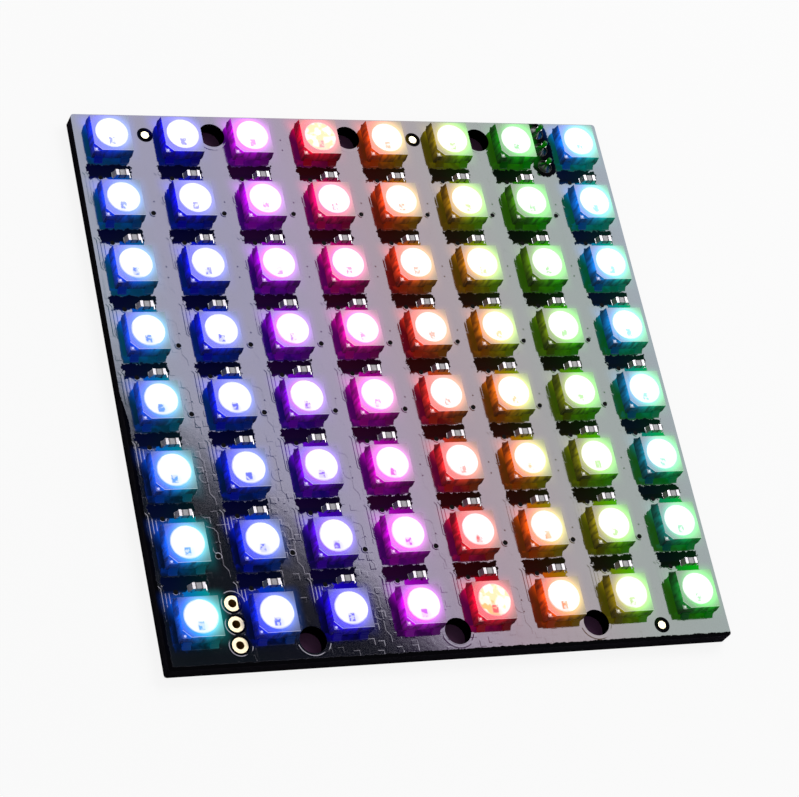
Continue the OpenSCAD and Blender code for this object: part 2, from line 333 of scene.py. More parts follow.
def makePackageShadeGap():
    # Painted shade: a dull dark zone between the packages of one column, standing in for their mirrored dark sides and
    # shade on the glossy mask; and painted light in the places beside them that their light reaches
    tree, given, made = newGroup("packageShadeGap", {"Vector": "Vector", "Ragged": ("Float", 0.6)},
                                 {"Mask": "Float", "Lit": "Float"})
    wires = Wires(tree)
    cell = useGroup(wires, ledCell, Vector=given["Vector"])
    y = wires.split(given["Vector"])[1]
    stray = wires.calc("MULTIPLY", wires.calc("SUBTRACT", wires.noise(given["Vector"], 1500.0, 3.0, 0.65), 0.5), given["Ragged"])
    across = wires.calc("ADD", cell["Across"], wires.calc("MULTIPLY", stray, 2.0))
    up = wires.calc("ADD", cell["Up"], wires.calc("MULTIPLY", stray, 2.0))

    def zone(left, right, low, high):
        soft = 0.05
        sides = wires.calc("MULTIPLY", wires.ramp(across, left - soft, left + soft), wires.ramp(across, right + soft, right - soft))
        ends = wires.calc("MULTIPLY", wires.ramp(up, low - soft, low + soft), wires.ramp(up, high + soft, high - soft))
        return wires.calc("MULTIPLY", sides, ends)

    inner = wires.ramp(y, boardHigh.y - 3.2 * mm, boardHigh.y - 4 * mm)
    lower = wires.ramp(y, boardLow.y + 2.2 * mm, boardLow.y + 2.5 * mm)
    below = wires.calc("MULTIPLY", wires.calc("MAXIMUM", zone(-3.3, 2.0, -4.3, -3.3), zone(-3.1, 0.2, -9.0, -4.0)), lower)
    above = wires.calc("MULTIPLY", zone(-3.1, 0.2, 3.75, 9.0), inner)
    between = wires.calc("MAXIMUM", wires.calc("MULTIPLY", zone(-0.6, 2.3, -9.0, -3.3), lower),
                         wires.calc("MULTIPLY", zone(-0.9, 2.2, 2.2, 9.0), inner))
    wires.feed(made["Mask"], wires.calc("MAXIMUM", wires.calc("MAXIMUM", below, above), between))
    patchy = wires.ramp(wires.noise(given["Vector"], 900.0, 2.0), 0.4, 0.62, 0.25, 1.0)
    foot = wires.calc("MULTIPLY", zone(-3.0, 2.1, -3.5, -2.2), wires.ramp(up, -3.6, -2.3, 0.0, 0.075))
    foot = wires.calc("MULTIPLY", foot, patchy)
    behind = wires.calc("MULTIPLY", wires.calc("MULTIPLY", zone(-0.9, 2.2, 2.2, 3.9), inner), 0.34)
    behind = wires.calc("MAXIMUM", behind, wires.calc("MULTIPLY", made["Mask"].links[0].from_socket, 0.011))
    wires.feed(made["Lit"], wires.calc("MAXIMUM", foot, behind))
    return tree


def makeRelief():
    # Raised copper under a coat of mask: blocky lands with soft steps, as a height from 0 to about 1
    tree, given, made = newGroup("relief", {"Vector": "Vector", "Scale": ("Float", 900.0)}, {"Height": "Float"})
    wires = Wires(tree)
    lands = wires.put("ShaderNodeTexVoronoi", {"distance": "CHEBYCHEV", "feature": "F1"},
                      Vector=given["Vector"], Scale=given["Scale"], Randomness=0.8)
    tall = wires.ramp(wires.put("ShaderNodeSeparateColor", Color=lands.outputs["Color"]).outputs[0], 0.45, 0.55)
    edge = wires.ramp(lands.outputs["Distance"], 0.42, 0.3)
    wires.feed(made["Height"], wires.calc("MULTIPLY", tall, edge))
    return tree


ledCell, fineGrain, handling = makeLedCell(), makeFineGrain(), makeHandling()
spill, holeGauge, relief, packageShadeGap = makeSpill(), makeHoleGauge(), makeRelief(), makePackageShadeGap()
print("node groups built")


# ---- materials ----

maskLook = {
    "black": (0.0035, 0.0045, 0.0075, 1),
    "edge": (0.002, 0.002, 0.002, 1),
    "smooth": 0.07, "worn": 0.17,
    "peel": 0.0018 * mm,      # height of the mask's orange peel
    "relief": 1.1,            # height of the copper under it, times the peel
    "spill": 0.6, "spillReach": 0.7,
    "specular": 0.85, "specularTint": (0.895, 0.845, 1.0, 1),
    "glowWash": 0.065,             # painted light: LED colour that drifts over the glossy mask
}


def makeSolderMask(look, name="solderMask"):
    material, wires, shader, place = newMaterial(name)
    x, y, z = wires.split(place)
    normal = wires.put("ShaderNodeNewGeometry").outputs["Normal"]
    upward = wires.ramp(wires.calc("ABSOLUTE", wires.split(normal)[2]), 0.5, 0.9)
    onTop = wires.ramp(z, boardTop - 0.3 * mm, boardTop - 0.1 * mm)
    cell = useGroup(wires, ledCell, Vector=place)
    grain = useGroup(wires, fineGrain, Vector=place, Scale=1500.0, Contrast=0.25)
    gauge = useGroup(wires, holeGauge, Vector=place)
    radius = gauge["Radius"]
    worn = useGroup(wires, handling, Vector=place, Smooth=look["smooth"], Worn=look["worn"])["Roughness"]
    gold = wires.calc("MULTIPLY", wires.ramp(radius, 0.53, 0.515), wires.ramp(upward, 0.5, 0.4))
    bareAndShade = wires.calc("MULTIPLY", wires.ramp(radius, 1.21, 1.19), wires.ramp(radius, 0.9, 0.94))
    bareAndShade = wires.calc("MAXIMUM", bareAndShade, wires.ramp(gauge["Dot"], 1.01, 0.99))
    # the copper pour stops short of the lower edge and of the left edge's lower half
    stray = wires.calc("MULTIPLY", wires.noise(place, 1300.0, 3.0, 0.7), 0.5 * mm)
    patch = wires.calc("SUBTRACT", gauge["Soldered"], wires.calc("DIVIDE", stray, 0.5 * mm))
    bareAndShade = wires.calc("MAXIMUM", bareAndShade, wires.ramp(patch, 1.1, 1.0))
    margin = wires.calc("SUBTRACT", wires.calc("SUBTRACT", y, boardLow.y), stray)
    sideways = wires.calc("ADD", wires.calc("SUBTRACT", wires.calc("SUBTRACT", x, boardLow.x), stray),
                          wires.ramp(y, -6 * mm, 2 * mm, 0.0, mm))
    margin = wires.calc("MINIMUM", margin, sideways)
    bareAndShade = wires.calc("MAXIMUM", bareAndShade, wires.ramp(margin, 0.26 * mm, 0.2 * mm))
    tint = wires.put("ShaderNodeCombineXYZ", X=grain["Tint"], Y=grain["Tint"], Z=grain["Tint"]).outputs[0]
    body = wires.blend(upward, look["edge"], look["black"])
    body = wires.blend(1.0, body, tint, "MULTIPLY")
    # painted shade between the packages of each column, and painted light beside them
    beside = useGroup(wires, packageShadeGap, Vector=place)
    shaded = wires.calc("MULTIPLY", beside["Mask"], wires.calc("MULTIPLY", upward, onTop))
    bareAndShade = wires.calc("MAXIMUM", bareAndShade, shaded)
    body = wires.blend(bareAndShade, body, (0.006, 0.006, 0.008, 1))
    wires.feed(shader["Base Color"], wires.blend(gold, body, (0.62, 0.42, 0.14, 1)))
    wires.feed(shader["Metallic"], wires.calc("MAXIMUM", wires.calc("MAXIMUM", gold, bareAndShade),
                                              wires.calc("SUBTRACT", 1.0, upward)))     # bare places, cut sides and the painted-shade zones stay dull
    rough = wires.calc("MAXIMUM", worn, wires.calc("MULTIPLY", wires.calc("SUBTRACT", 1.0, upward), 0.95))
    wires.feed(shader["Roughness"], wires.calc("MAXIMUM", rough, wires.calc("MULTIPLY", bareAndShade, 0.8)))
    shader["Specular IOR Level"].default_value = look["specular"]
    shader["Specular Tint"].default_value = look["specularTint"]
    # painted light: each LED's light thrown on the mask around its package, stronger above and to the right
    thrown = useGroup(wires, spill, Across=cell["Across"], Up=cell["Up"], Half=2.4,
                      Reach=look["spillReach"])["Amount"]
    lean = wires.ramp(wires.calc("ADD", cell["Up"], wires.calc("MULTIPLY", cell["Across"], 0.6)), -1.6, 3.0, 0.02, 1.0)
    for axis in ("Across", "Up"):
        thrown = wires.calc("MULTIPLY", thrown, wires.ramp(wires.calc("ABSOLUTE", cell[axis]), 4.45, 3.3))
    thrown = wires.calc("MULTIPLY", wires.calc("MULTIPLY", wires.calc("MULTIPLY", thrown, lean), look["spill"]),
                        wires.calc("MULTIPLY", upward, onTop))
    lit = wires.blend(wires.calc("MULTIPLY", beside["Lit"], wires.calc("MULTIPLY", upward, onTop)), (0, 0, 0, 1), cell["Color"])
    lit = wires.blend(1.0, lit, wires.blend(thrown, (0, 0, 0, 1), cell["Color"]), "LIGHTEN")
    # painted light: the LEDs' colours washed over the glossy mask, fading out towards the lower left
    reach = wires.ramp(wires.calc("ADD", x, y), -46 * mm, -26 * mm, 0.04, 1.0)
    reach = wires.calc("MULTIPLY", wires.calc("MULTIPLY", reach, wires.calc("SUBTRACT", 1.0, bareAndShade)), look["glowWash"])
    reach = wires.calc("MULTIPLY", reach, wires.calc("MULTIPLY", upward, onTop))
    wires.feed(shader["Emission Color"], wires.blend(1.0, lit, wires.blend(reach, (0, 0, 0, 1), cell["Wash"]), "ADD"))
    shader["Emission Strength"].default_value = 1.0
    fibres = wires.noise(wires.put("ShaderNodeMapping", Vector=place, Scale=(300, 300, 4000)).outputs[0], 1.0, 3.0)
    lands = wires.calc("MULTIPLY", useGroup(wires, relief, Vector=place, Scale=950.0)["Height"], look["relief"])
    height = wires.calc("MULTIPLY", wires.calc("ADD", grain["Height"], lands), upward)
    height = wires.calc("ADD", height, wires.calc("MULTIPLY", fibres, wires.calc(
        "MULTIPLY", wires.calc("SUBTRACT", 1.0, upward), 12.0)))
    wires.feed(shader["Normal"], bump(wires, height, look["peel"]))
    return material


housingLook = {
    "resin": (0.03, 0.027, 0.032, 1),
    "smooth": 0.2, "worn": 0.36,
    "specular": 0.75,
    "rimGlow": 1.1, "rimReach": 0.75,     # around the cup's mouth
    "sideGlow": 1.0, "sideFoot": 0.02,    # at the top and at the foot of the flanks
    "sideReach": 0.75, "frontGlow": 0.5,
    "mottle": 0.6,
    "glint": 0.9, "edge": 0.8,
}


def makeHousingResin(look):
    material, wires, shader, place = newMaterial("housingResin")
    x, y, z = wires.split(place)
    normal = wires.split(wires.put("ShaderNodeNewGeometry").outputs["Normal"])
    upward = wires.ramp(normal[2], 0.8, 0.95)
    cell = useGroup(wires, ledCell, Vector=place)
    grain = useGroup(wires, fineGrain, Vector=place, Scale=5200.0, Contrast=0.3)
    tint = wires.put("ShaderNodeCombineXYZ", X=grain["Tint"], Y=grain["Tint"], Z=grain["Tint"]).outputs[0]
    wires.feed(shader["Base Color"], wires.blend(1.0, look["resin"], tint, "MULTIPLY"))
    wires.feed(shader["Roughness"], useGroup(wires, handling, Vector=place, Smooth=look["smooth"],
                                             Worn=look["worn"])["Roughness"])
    shader["Specular IOR Level"].default_value = look["specular"]
    # the emission below is painted light from the LED: glow on the top around the cup, on the flanks, a glint at the
    # notch and a highlight on the front edge
    high = wires.calc("DIVIDE", wires.calc("SUBTRACT", z, packageTop), mm)     # 0 at the top, negative below
    rim = wires.calc("EXPONENT", wires.calc("MULTIPLY", wires.calc(
        "MAXIMUM", wires.calc("SUBTRACT", cell["Radius"], 2.05), 0.0), -1 / look["rimReach"]))
    top = wires.calc("MULTIPLY", wires.calc("MULTIPLY", rim, look["rimGlow"]), upward)
    fall = wires.calc("EXPONENT", wires.calc("MULTIPLY", high, 1.2))
    fall = wires.calc("ADD", wires.calc("MULTIPLY", fall, look["sideGlow"] - look["sideFoot"]), look["sideFoot"])
    left = wires.ramp(normal[0], 0.1, -0.8, look["frontGlow"], 1.0)
    beside = wires.calc("MAXIMUM", wires.calc("SUBTRACT", cell["Radius"], 2.5), 0.0)
    left = wires.calc("MULTIPLY", left, wires.calc("EXPONENT", wires.calc("MULTIPLY", beside, -1 / look["sideReach"])))
    # light leaves the cup in streaks
    streaks = wires.put("ShaderNodeMapping", Vector=place, Scale=(1700, 1700, 420)).outputs[0]
    blotch = wires.ramp(wires.noise(streaks, 1.0, 2.0), 0.34, 0.64, 1.0 - look["mottle"], 1.15)
    flank = wires.calc("MULTIPLY", wires.calc("MULTIPLY", fall, left), blotch)
    flank = wires.calc("MULTIPLY", flank, wires.calc("SUBTRACT", 1.0, upward))
    # painted glint: the notch's ledge lets a point of light through at its outer corner
    cornerX, cornerY = wires.calc("ADD", cell["Across"], 2.12), wires.calc("ADD", cell["Up"], 2.12)
    corner = wires.calc("SQRT", wires.calc("ADD", wires.calc("MULTIPLY", cornerX, cornerX),
                                           wires.calc("MULTIPLY", cornerY, cornerY)))
    glint = wires.calc("MULTIPLY", wires.ramp(corner, 0.2, 0.08),
                       wires.calc("MULTIPLY", wires.ramp(high, -0.45, -0.36), wires.ramp(high, -0.25, -0.34)))
    glint = wires.calc("MULTIPLY", glint, look["glint"])
    pale = wires.blend(0.6, cell["Color"], (1, 1, 1, 1))
    # the painted rim glow turns paler towards the right and top
    rimPaling = wires.ramp(wires.calc("ADD", cell["Across"], wires.calc("MULTIPLY", cell["Up"], 0.5)), -1.6, 1.2, 0.0, 0.15)
    rimColor = wires.blend(rimPaling, cell["Color"], (1, 1, 1, 1))
    lit = wires.blend(top, wires.blend(flank, (0, 0, 0, 1), cell["Color"]), rimColor)
    # painted highlight: light caught by the sharp edge above the front face and the notch
    edge = wires.calc("MULTIPLY", wires.ramp(high, -0.13, -0.04), wires.ramp(normal[1], -0.35, -0.6))
    lit = wires.blend(wires.calc("MULTIPLY", edge, look["edge"]), lit, pale)
    wires.feed(shader["Emission Color"], wires.blend(glint, lit, pale))
    shader["Emission Strength"].default_value = 1.0
    wires.feed(shader["Normal"], bump(wires, grain["Height"], 0.003 * mm))
    return material


lensLook = {
    "resin": (0.10, 0.10, 0.11, 1),
    "strength": 1.1,
    "core": 1.8, "rim": 2.1,            # where the white core ends and the coloured rim begins, mm
    "dimCast": (1.0, 0.52, 0.16, 1), "dimSpots": (1.0, 0.93, 0.75, 1),    # the weakest two packages
    "chipAcross": -0.15, "chipUp": -1.15,
}


def makeLensResin(look):
    material, wires, shader, place = newMaterial("lensResin")
    cell = useGroup(wires, ledCell, Vector=place)
    wires.feed(shader["Base Color"], look["resin"])
    shader["Roughness"].default_value = 0.07
    shader["Coat Weight"].default_value = 0.4
    grain = useGroup(wires, fineGrain, Vector=place, Scale=2600.0, Contrast=0.5)
    wobble = wires.calc("MULTIPLY", wires.calc("SUBTRACT", grain["Tint"], 1.0), 0.5)
    radius = wires.calc("ADD", cell["Radius"], wobble)
    core = wires.ramp(radius, look["rim"], look["core"])
    # the driver chip and its wires, seen through the resin
    chipX = wires.calc("SUBTRACT", cell["Across"], look["chipAcross"])
    chipY = wires.calc("SUBTRACT", cell["Up"], look["chipUp"])
    chipX = wires.calc("ADD", chipX, wires.calc("MULTIPLY", wobble, 1.5))
    boxX = wires.ramp(wires.calc("ABSOLUTE", chipX), 0.44, 0.3)
    boxY = wires.ramp(wires.calc("ABSOLUTE", chipY), 0.58, 0.4)
    chip = wires.calc("MULTIPLY", boxX, boxY)
    holes = wires.ramp(wires.noise(place, 2300.0, 1.0), 0.42, 0.56)
    chip = wires.calc("MULTIPLY", chip, wires.calc("ADD", wires.calc("MULTIPLY", holes, 0.7), 0.2))
    haloY = wires.calc("ADD", cell["Up"], 1.3)
    halo = wires.calc("SQRT", wires.calc("ADD", wires.calc("MULTIPLY", cell["Across"], cell["Across"]),
                                         wires.calc("MULTIPLY", haloY, haloY)))
    halo = wires.ramp(halo, 1.1, 0.2, 0.0, 0.45)       # paler light over the driver chip
    tinted = wires.blend(0.28, cell["Color"], (0.9, 0.9, 0.9, 1))
    spots = wires.ramp(wires.noise(place, 1050.0, 1.0), 0.45, 0.58)
    burnt = wires.blend(0.93, cell["Color"], (1, 1, 1, 1))
    burnt = wires.blend(cell["Dim"], burnt, wires.blend(spots, look["dimCast"], look["dimSpots"]))
    burnt = wires.blend(halo, burnt, wires.blend(0.55, cell["Color"], (0.8, 0.8, 0.85, 1)))
    burnt = wires.blend(chip, burnt, wires.blend(0.3, cell["Color"], (0.12, 0.12, 0.16, 1)))
    wires.feed(shader["Emission Color"], wires.blend(core, tinted, burnt))
    shader["Emission Strength"].default_value = look["strength"]
    wires.feed(shader["Normal"], bump(wires, grain["Height"], 0.002 * mm))
    return material


metalLooks = {
    # shadedLeadMetal is tin painted near black, painted shade for the dark surroundings that the leads and LED pads
    # mirror; its emission is painted LED light caught on them
    "shadedLeadMetal": {"color": (0.035, 0.035, 0.04, 1), "smooth": 0.45, "worn": 0.6, "caughtGlow": 0.09, "scale": 2600.0, "depth": 0.004},
    "tinSolder": {"color": (0.70, 0.70, 0.73, 1), "smooth": 0.26, "worn": 0.45, "scale": 1700.0, "depth": 0.012},
    "goldPlate": {"color": (1.0, 0.86, 0.58, 1), "smooth": 0.4, "worn": 0.55, "scale": 3200.0, "depth": 0.003,
                  "darkNearSoldered": (0.02, 0.02, 0.018, 1)},
    "endCap": {"color": (0.80, 0.76, 0.80, 1), "smooth": 0.5, "worn": 0.65, "scale": 2400.0, "depth": 0.008},
    # shadedJoint is solder painted darker than tinSolder: painted shade for the dark surroundings the joints mirror
    "shadedJoint": {"color": (0.35, 0.35, 0.35, 1), "smooth": 0.2, "worn": 0.35, "scale": 1500.0, "depth": 0.02},
}


def makeMetal(name, look):
    material, wires, shader, place = newMaterial(name)
    grain = useGroup(wires, fineGrain, Vector=place, Scale=look["scale"], Contrast=0.35)
    tint = wires.put("ShaderNodeCombineXYZ", X=grain["Tint"], Y=grain["Tint"], Z=grain["Tint"]).outputs[0]
    color = wires.blend(1.0, look["color"], tint, "MULTIPLY")
    if "darkNearSoldered" in look:     # the rings of the soldered holes are darker
        near = useGroup(wires, holeGauge, Vector=place)["Soldered"]
        color = wires.blend(wires.ramp(near, 1.8, 1.6), color, look["darkNearSoldered"])
    wires.feed(shader["Base Color"], color)
    shader["Metallic"].default_value = 1.0
    wires.feed(shader["Roughness"], useGroup(wires, handling, Vector=place, Smooth=look["smooth"],
                                             Worn=look["worn"])["Roughness"])
    # painted light: the LED's colour caught on the metal
    if "caughtGlow" in look:
        cell = useGroup(wires, ledCell, Vector=place)
        wires.feed(shader["Emission Color"], wires.blend(1.0, cell["Color"], tint, "MULTIPLY"))
        shader["Emission Strength"].default_value = look["caughtGlow"]
    wires.feed(shader["Normal"], bump(wires, grain["Height"], look["depth"] * mm))
    return material


solidLooks = {
    "firedCeramic": {"color": (0.42, 0.40, 0.42, 1), "fleck": (0.62, 0.60, 0.62, 1), "rough": 0.38,
                     "scale": 5200.0, "depth": 0.006, "capStepShade": 0.22},
    "bareSilicon": {"color": (0.10, 0.11, 0.14, 1), "fleck": (0.35, 0.33, 0.25, 1), "rough": 0.2,
                    "scale": 7000.0, "depth": 0.001},
    "emitterCrystal": {"color": (0.75, 0.72, 0.50, 1), "fleck": (0.95, 0.90, 0.60, 1), "rough": 0.25,
                       "scale": 9000.0, "depth": 0.001},
}


def makeSpeckled(name, look):
    material, wires, shader, place = newMaterial(name)
    grain = useGroup(wires, fineGrain, Vector=place, Scale=look["scale"], Contrast=0.4)
    fleck = wires.ramp(wires.noise(place, look["scale"] * 1.7, 2.0), 0.52, 0.7)
    color = wires.blend(fleck, look["color"], look["fleck"])
    if "capStepShade" in look:       # painted shade: dark bands in the steps beside the capacitor's end caps
        cell = useGroup(wires, ledCell, Vector=place)
        off = wires.calc("ABSOLUTE", wires.calc("SUBTRACT", cell["Across"], capShift / mm))
        color = wires.blend(wires.ramp(off, look["capStepShade"], look["capStepShade"] + 0.12), color, (0.12, 0.10, 0.12, 1))
    wires.feed(shader["Base Color"], color)
    wires.feed(shader["Roughness"], wires.calc("MULTIPLY", grain["Tint"], look["rough"]))
    wires.feed(shader["Normal"], bump(wires, grain["Height"], look["depth"] * mm))
    return material


solderMask = makeSolderMask(maskLook)
housingResin = makeHousingResin(housingLook)
lensResin = makeLensResin(lensLook)
metals = {name: makeMetal(name, look) for name, look in metalLooks.items()}
speckled = {name: makeSpeckled(name, look) for name, look in solidLooks.items()}
print("materials built")

nodeMaterials = {
    "board": solderMask,
    "gold_plating": metals["goldPlate"],
    "solder_joints": metals["shadedJoint"],
    "lead_tips": metals["shadedLeadMetal"],
    "led_housings": housingResin,
    "led_lenses": lensResin,
    "led_leads": metals["shadedLeadMetal"],
    "driver_chips": speckled["bareSilicon"],
    "led_dice": speckled["emitterCrystal"],
    "capacitor_bodies": speckled["firedCeramic"],
    "capacitor_ends": metals["endCap"],
}
for name, node in nodes.items():
    kind = name.rstrip("0123456789").rstrip("_") if name not in nodeMaterials else name
    node.data.materials.clear()
    node.data.materials.append(nodeMaterials[kind])
print("nodes dressed")


# ---- pieces on the board's face ----

def addPiece(name, shape, material):
    mesh = bpy.data.meshes.new(name)
    bmesh.ops.recalc_face_normals(shape, faces=shape.faces)
    shape.to_mesh(mesh)
    shape.free()
    mesh.materials.append(material)
    piece = bpy.data.objects.new(name, mesh)
    scene.collection.objects.link(piece)
    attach(piece, "root")
    print("piece", name, len(mesh.polygons), "faces")
    return piece


def addRidge(shape, points, width, height, slope):
    # Flat-topped ridge along a line of points, in millimetres, with mitred corners
    points = [Vector(p) for p in points]
    rings = []
    for i, p in enumerate(points):
        before = (p - points[i - 1]).normalized() if i else (points[1] - p).normalized()
        after = (points[i + 1] - p).normalized() if i < len(points) - 1 else before
        across = Vector((-(before + after).y, (before + after).x)).normalized()
        reach = 1 / max(0.4, across.dot(Vector((-before.y, before.x))))
        ring = []
        for offset, lift in ((-width / 2 - slope, 0), (-width / 2, height), (width / 2, height), (width / 2 + slope, 0)):
            q = p + across * offset * reach
            ring.append(shape.verts.new((q.x * mm, q.y * mm, boardTop + (lift - 0.002) * mm)))
        rings.append(ring)
    for a, b in zip(rings, rings[1:]):
        for i in range(3):
            shape.faces.new((a[i], a[i + 1], b[i + 1], b[i]))
        shape.faces.new((a[3], a[0], b[0], b[3]))
    shape.faces.new(rings[0])
    shape.faces.new(rings[-1][::-1])


def addLathe(shape, x, y, profile, steps=24):
    # Closed ring section turned about an upright axis at x, y, in millimetres
    rings = []
    for i in range(steps):
        a = 2 * math.pi * i / steps
        rings.append([shape.verts.new(((x + r * math.cos(a)) * mm, (y + r * math.sin(a)) * mm, boardTop + h * mm))
                      for r, h in profile])
    for i in range(steps):
        a, b = rings[i], rings[(i + 1) % steps]
        for j in range(len(profile)):
            k = (j + 1) % len(profile)
            shape.faces.new((a[j], a[k], b[k], b[j]))


def addPad(shape, x, y, width, length, height, corner=0.15, crown=0.08):
    # Rounded pad with soft shoulders, in millimetres
    def ring(inset, lift):
        w, l, r = width / 2 - inset, length / 2 - inset, max(corner - inset * 0.5, 0.03)
        made = []
        for cx, cy, start in ((w - r, l - r, 0), (r - w, l - r, 90), (r - w, r - l, 180), (w - r, r - l, 270)):
            for i in range(4):
                a = math.radians(start + 30 * i)
                made.append(shape.verts.new(((x + cx + r * math.cos(a)) * mm, (y + cy + r * math.sin(a)) * mm,
                                             boardTop + lift * mm)))
        return made
    rings = [ring(0, -0.002), ring(crown * 0.3, height * 0.7), ring(crown, height)]
    for a, b in zip(rings, rings[1:]):
        for i in range(len(a)):
            j = (i + 1) % len(a)
            shape.faces.new((a[i], a[j], b[j], b[i]))
    shape.faces.new(rings[-1])
    shape.faces.new(rings[0][::-1])


traces = {
    "width": 0.16, "height": 0.0035, "slope": 0.12,    # millimetres; flat enough to show only where the light ends
    "bundle": (-3.5, -3.07, -2.64), "bundleHeight": 0.007,                    # three lines that run down beside each package
    "bundleTop": 4.3, "bundleFoot": 0.5,
    "lane": 4.45,                                      # data line to the next package
    "keepClear": 2.3,                                  # from holes and dots
}


def laneClear(x, low, high, reach):
    # True where an upright run at x misses every hole and dot of the board
    spots = [(sx * fixingX, sy * fixingY) for sx in (-1, 0, 1) for sy in (-1, 1)] + dots
    spots += [(hole.x / mm, (hole.y + step * holeStep) / mm) for hole in (openHole, solderedHole) for step in (-1, 0, 1)]
    return all(abs(x - px) > reach or py < low - reach or py > high + reach for px, py in spots)


def makeTraces(facts):
    shape = bmesh.new()
    size = facts["width"], facts["height"], facts["slope"]
    for column in range(columns):
        for row in range(rows):
            x, y = ledX(column) / mm, ledY(row) / mm
            if row:
                for number, offset in enumerate(facts["bundle"]):
                    top, foot = y + facts["bundleTop"], y + facts["bundleFoot"] - 0.35 * number
                    addRidge(shape, [(x + offset - 0.3, top + 0.35), (x + offset, top), (x + offset, foot),
                                     (x + offset + 0.25, foot - 0.25)], facts["width"], facts["bundleHeight"], facts["slope"])
            lane = x + facts["lane"]
            if column < columns - 1 and laneClear(lane, y - 3.7, y + 3.0, facts["keepClear"]):
                addRidge(shape, [(x + 3.3, y + 2.6), (lane - 0.3, y + 2.3), (lane, y + 1.9), (lane, y - 2.2),
                                 (lane + 0.5, y - 2.9), (lane + 0.55, y - 3.7)], *size)
                addRidge(shape, arc(lane - 0.15, y - 0.15, 0.75, 60, 300, 16), *size)
    return addPiece("trace_relief", shape, solderMask)


vias = {"outer": 0.5, "inner": 0.3, "height": 0.014, "side": (4.1, -1.05), "corner": (-1.7, 3.85)}


def makeVias(facts):
    rings, plugs = bmesh.new(), bmesh.new()
    profile = [(facts["inner"], -0.02), (facts["inner"], facts["height"] - 0.006), (facts["inner"] + 0.06, facts["height"]),
               (facts["outer"] - 0.12, facts["height"]), (facts["outer"], 0.0), (facts["outer"], -0.02)]
    for column in range(columns):
        for row in range(rows):
            x, y = ledX(column) / mm, ledY(row) / mm
            spots = []
            if row:
                spots.append(facts["corner"])
            if column < columns - 1 and row in (1, 3, 4, 6):
                spots.append(facts["side"])
            for dx, dy in spots:
                addLathe(rings, x + dx, y + dy, profile, 20)
                addLathe(plugs, x + dx, y + dy, [(0.004, -0.02), (0.004, 0.004), (facts["inner"] + 0.01, 0.006),
                                                 (facts["inner"] + 0.01, -0.02)], 20)
    addPiece("via_rings", rings, solderMask)
    addPiece("via_plugs", plugs, viaFill)


def makeViaFill():
    material, wires, shader, place = newMaterial("viaFill")
    grain = useGroup(wires, fineGrain, Vector=place, Scale=6000.0, Contrast=0.5)
    tint = wires.put("ShaderNodeCombineXYZ", X=grain["Tint"], Y=grain["Tint"], Z=grain["Tint"]).outputs[0]
    wires.feed(shader["Base Color"], wires.blend(1.0, (0.004, 0.004, 0.004, 1), tint, "MULTIPLY"))
    wires.feed(shader["Roughness"], wires.calc("MULTIPLY", grain["Tint"], 0.7))
    shader["Specular IOR Level"].default_value = 0.1
    wires.feed(shader["Normal"], bump(wires, grain["Height"], 0.004 * mm))
    return material


viaFill = makeViaFill()

pads = {
    "leadX": 1.65, "leadY": 2.9, "leadWidth": 1.12, "leadLength": 0.5,
    "capWidth": 0.3, "capLength": 0.9, "capX": 1.02,
    "height": 0.03,
}


def makePads(facts):
    shaded, bright = bmesh.new(), bmesh.new()
    for column in range(columns):
        for row in range(rows):
            x, y = ledX(column) / mm, ledY(row) / mm
            for sx in (-1, 1):
                for sy in (-1, 1):
                    addPad(shaded, x + sx * facts["leadX"], y + sy * facts["leadY"], facts["leadWidth"],
                           facts["leadLength"], facts["height"])
                if row < rows - 1:
                    addPad(bright, x + capShift / mm + sx * facts["capX"], y - capDrop / mm, facts["capWidth"],
                           facts["capLength"], facts["height"])
    # painted shade: the LED pads take the darkened lead metal, the capacitor pads stay bright tin
    addPiece("lead_pads", shaded, metals["shadedLeadMetal"])
    addPiece("capacitor_pads", bright, metals["tinSolder"])


keepouts = {"around": 2.02, "from": 195, "to": 345, "holes": 1.4, "width": 0.1, "height": 0.012, "slope": 0.13}


def addLoop(shape, points, facts):
    # Closed ridge
    points = [Vector(p) for p in points]
    rings = []
    for i, p in enumerate(points):
        before, after = (p - points[i - 1]).normalized(), (points[(i + 1) % len(points)] - p).normalized()
        across = Vector((-(before + after).y, (before + after).x)).normalized()
        reach = 1 / max(0.5, across.dot(Vector((-before.y, before.x))))
        ring = []
        for offset, lift in ((-1, 0), (-0.5, 1), (0.5, 1), (1, 0)):
            side = math.copysign(facts["width"] / 2 + (facts["slope"] if abs(offset) == 1 else 0), offset)
            q = p + across * side * reach
            ring.append(shape.verts.new((q.x * mm, q.y * mm, boardTop + (lift * facts["height"] - 0.002) * mm)))
        rings.append(ring)
    for a, b in zip(rings, rings[1:] + rings[:1]):
        for i in range(4):
            j = (i + 1) % 4
            shape.faces.new((a[i], a[j], b[j], b[i]))


def arc(x, y, radius, start, end, steps):
    turns = [math.radians(start + (end - start) * i / steps) for i in range(steps + 1)]
    return [(x + radius * math.cos(t), y + radius * math.sin(t)) for t in turns]


